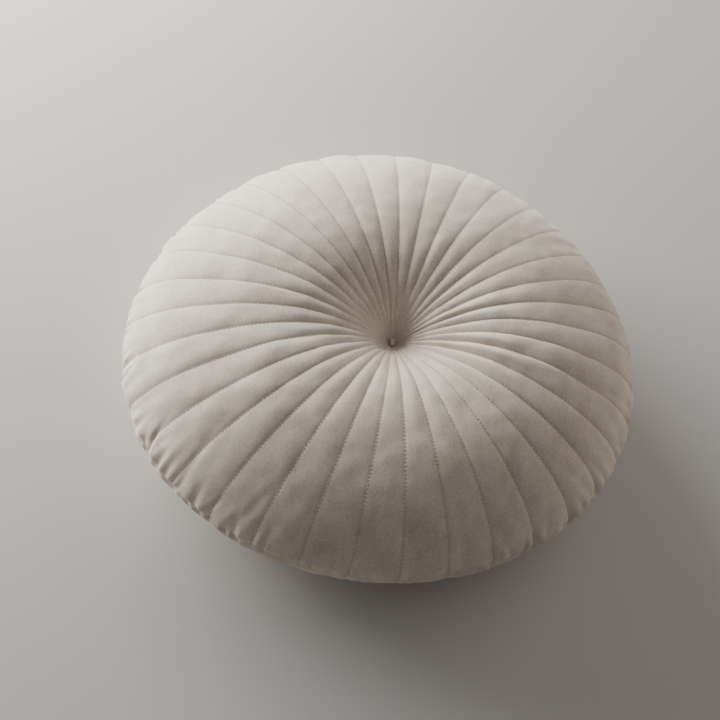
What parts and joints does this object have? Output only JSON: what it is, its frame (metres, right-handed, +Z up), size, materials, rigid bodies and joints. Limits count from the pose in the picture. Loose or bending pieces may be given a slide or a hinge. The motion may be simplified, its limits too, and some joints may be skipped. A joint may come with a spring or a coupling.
{
  "type": "round channel-quilted cushion",
  "caption": "Round filled velvet cushion, lying on its back, with padded channels sewn from a tied tuft in the middle to the rim seam",
  "frame": {"origin": "middle of the cushion's outline in plan, on the surface it lies on", "axes": "+Z up, out of the quilted face; -Y towards the side the face is seen from; +X to the right of that view"},
  "size_m": [0.4018, 0.397, 0.104],
  "materials": {
    "velvet": "matt",
    "thread": "matt"
  },
  "bodies": {
    "root": {"cushion": "velvet", "tuft_tie": "thread"}
  },
  "joints": []
}
